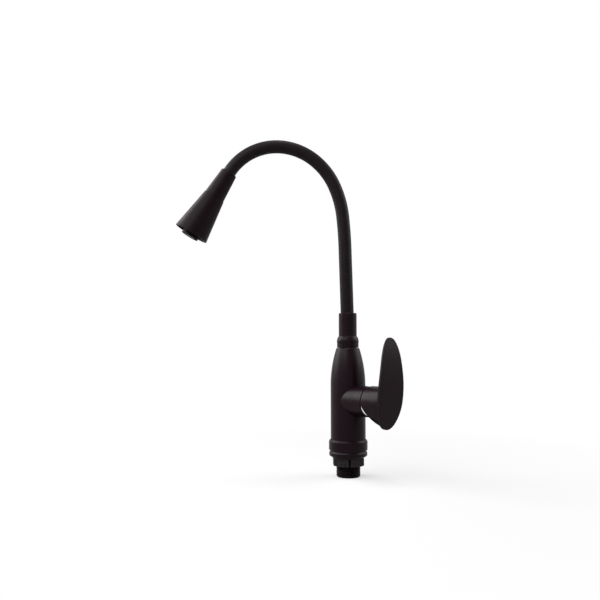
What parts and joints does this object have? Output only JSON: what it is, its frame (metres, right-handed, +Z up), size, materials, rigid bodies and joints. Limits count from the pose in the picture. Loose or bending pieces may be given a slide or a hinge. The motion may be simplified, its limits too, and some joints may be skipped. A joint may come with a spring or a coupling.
{
  "type": "mixer tap",
  "caption": "Single-lever kitchen mixer tap in matte black with a bottle-shaped body, a side lever and a tall flexible hose spout ending in a conical spray head.",
  "frame": {"origin": "centre of the base ring's underside, where the tap stands on the deck", "axes": "+Z up along the body, +X along the cartridge port towards the lever; the spout points 124 degrees clockwise from +X, seen from above"},
  "size_m": [0.2315, 0.2294, 0.4687],
  "materials": {
    "black_coat": "matte powder coat",
    "black_plastic": "matte, fine spark texture",
    "dark_metal": "satin black, worn at the edges",
    "chrome": "polished",
    "hose_rubber": "matte, smooth",
    "gooseneck_steel": "plain",
    "tube_plastic": "translucent white",
    "seal_rubber": "matte",
    "nozzle_rubber": "soft matte",
    "ceramic": "lapped",
    "inner_plastic": "plain",
    "mesh_plastic": "plain",
    "steel": "plain",
    "brass": "machined"
  },
  "bodies": {
    "tap_body": {"body_casting": "black_coat", "swivel_bush": "black_plastic", "base_ring": "black_coat", "base_gasket": "seal_rubber", "mounting_shank": "dark_metal", "fixing_washer": "dark_metal", "fixing_nut": "dark_metal", "cartridge_base": "inner_plastic", "cartridge_seals": "seal_rubber", "fixed_ceramic_disc": "ceramic", "cartridge_housing": "inner_plastic", "cartridge_nut": "brass", "dome_cover": "chrome"},
    "rotor": {"cartridge_rotor": "inner_plastic", "pivot_pin": "steel"},
    "lever": {"lever_stem": "steel", "lever_handle": "black_coat", "lever_screw": "steel", "screw_plug": "black_plastic"},
    "ceramic_disc": {"moving_ceramic_disc": "ceramic", "disc_carrier": "inner_plastic"},
    "spout_base": {"swivel_nipple": "brass", "swivel_o_rings": "seal_rubber", "swivel_ring": "black_coat", "hose_collar": "black_coat", "hose_sleeve_1": "hose_rubber", "gooseneck_1": "gooseneck_steel", "water_tube_1": "tube_plastic"},
    "hose_2": {"hose_sleeve_2": "hose_rubber", "gooseneck_2": "gooseneck_steel", "water_tube_2": "tube_plastic"},
    "hose_3": {"hose_sleeve_3": "hose_rubber", "gooseneck_3": "gooseneck_steel", "water_tube_3": "tube_plastic"},
    "hose_4": {"hose_sleeve_4": "hose_rubber", "gooseneck_4": "gooseneck_steel", "water_tube_4": "tube_plastic"},
    "hose_5": {"hose_sleeve_5": "hose_rubber", "gooseneck_5": "gooseneck_steel", "water_tube_5": "tube_plastic"},
    "hose_6": {"hose_sleeve_6": "hose_rubber", "gooseneck_6": "gooseneck_steel", "water_tube_6": "tube_plastic"},
    "hose_7": {"hose_sleeve_7": "hose_rubber", "gooseneck_7": "gooseneck_steel", "water_tube_7": "tube_plastic", "head_connector": "black_plastic", "hose_end_fitting": "brass", "connector_washer": "seal_rubber", "check_valve": "inner_plastic", "spigot_o_ring": "seal_rubber", "head_circlip": "steel", "mode_disc": "inner_plastic"},
    "spray_head": {"distributor": "inner_plastic", "head_shell": "black_plastic", "spray_plate": "black_plastic", "spray_nozzles": "nozzle_rubber", "aerator_housing": "black_plastic", "aerator_mesh": "mesh_plastic", "aerator_washer": "seal_rubber"}
  },
  "joints": [
    {"name": "spout_swivel", "type": "hinge", "parent": "tap_body", "child": "spout_base", "pos_m": [0, 0, 0.1489], "axis": [0, 0, 1], "continuous": true},
    {"name": "lever_turn", "type": "hinge", "parent": "tap_body", "child": "rotor", "pos_m": [0.038, 0, 0.0766], "axis": [1, 0, 0], "range_deg": [-45, 45]},
    {"name": "lever_lift", "type": "hinge", "parent": "rotor", "child": "lever", "pos_m": [0.038, 0, 0.0766], "axis": [0, 1, 0], "range_deg": [0, 25]},
    {"name": "disc_slide", "type": "slide", "parent": "rotor", "child": "ceramic_disc", "axis": [0, 0, 1], "range_m": [0, 0.00444]},
    {"name": "hose_bend", "type": "hinge", "parent": "spout_base", "child": "hose_2", "pos_m": [-0.00187, -0.00277, 0.28805], "axis": [0.829, -0.5592, 0], "range_deg": [-8, 4], "deforming": ["hose_sleeve_2", "water_tube_2", "hose_sleeve_1", "water_tube_1"]},
    {"name": "hose_bend_3", "type": "hinge", "parent": "hose_2", "child": "hose_3", "pos_m": [-0.00364, -0.00539, 0.33373], "axis": [0.829, -0.5592, 0], "range_deg": [-8, 4], "deforming": ["hose_sleeve_3", "water_tube_3"]},
    {"name": "hose_bend_4", "type": "hinge", "parent": "hose_3", "child": "hose_4", "pos_m": [-0.01043, -0.01546, 0.37768], "axis": [0.829, -0.5592, 0], "range_deg": [-8, 4], "deforming": ["hose_sleeve_4", "water_tube_4"]},
    {"name": "hose_bend_5", "type": "hinge", "parent": "hose_4", "child": "hose_5", "pos_m": [-0.02612, -0.03872, 0.41334], "axis": [0.829, -0.5592, 0], "range_deg": [-8, 4], "deforming": ["hose_sleeve_5", "water_tube_5"]},
    {"name": "hose_bend_6", "type": "hinge", "parent": "hose_5", "child": "hose_6", "pos_m": [-0.04944, -0.0733, 0.43088], "axis": [0.829, -0.5592, 0], "range_deg": [-8, 4], "deforming": ["hose_sleeve_6", "water_tube_6"]},
    {"name": "hose_bend_7", "type": "hinge", "parent": "hose_6", "child": "hose_7", "pos_m": [-0.07436, -0.11024, 0.42354], "axis": [0.829, -0.5592, 0], "range_deg": [-8, 4], "deforming": ["hose_sleeve_7", "water_tube_7"]},
    {"name": "head_turn", "type": "hinge", "parent": "hose_7", "child": "spray_head", "pos_m": [-0.09298, -0.13785, 0.39302], "axis": [-0.288, -0.427, -0.8572], "range_deg": [0, 90]}
  ],
  "couplings": [
    {"joint": "disc_slide", "follows": "lever_lift", "m_per_rad": 0.01017},
    {"joint": "hose_bend_3", "follows": "hose_bend", "ratio": 1},
    {"joint": "hose_bend_4", "follows": "hose_bend", "ratio": 1},
    {"joint": "hose_bend_5", "follows": "hose_bend", "ratio": 1},
    {"joint": "hose_bend_6", "follows": "hose_bend", "ratio": 1},
    {"joint": "hose_bend_7", "follows": "hose_bend", "ratio": 1}
  ]
}
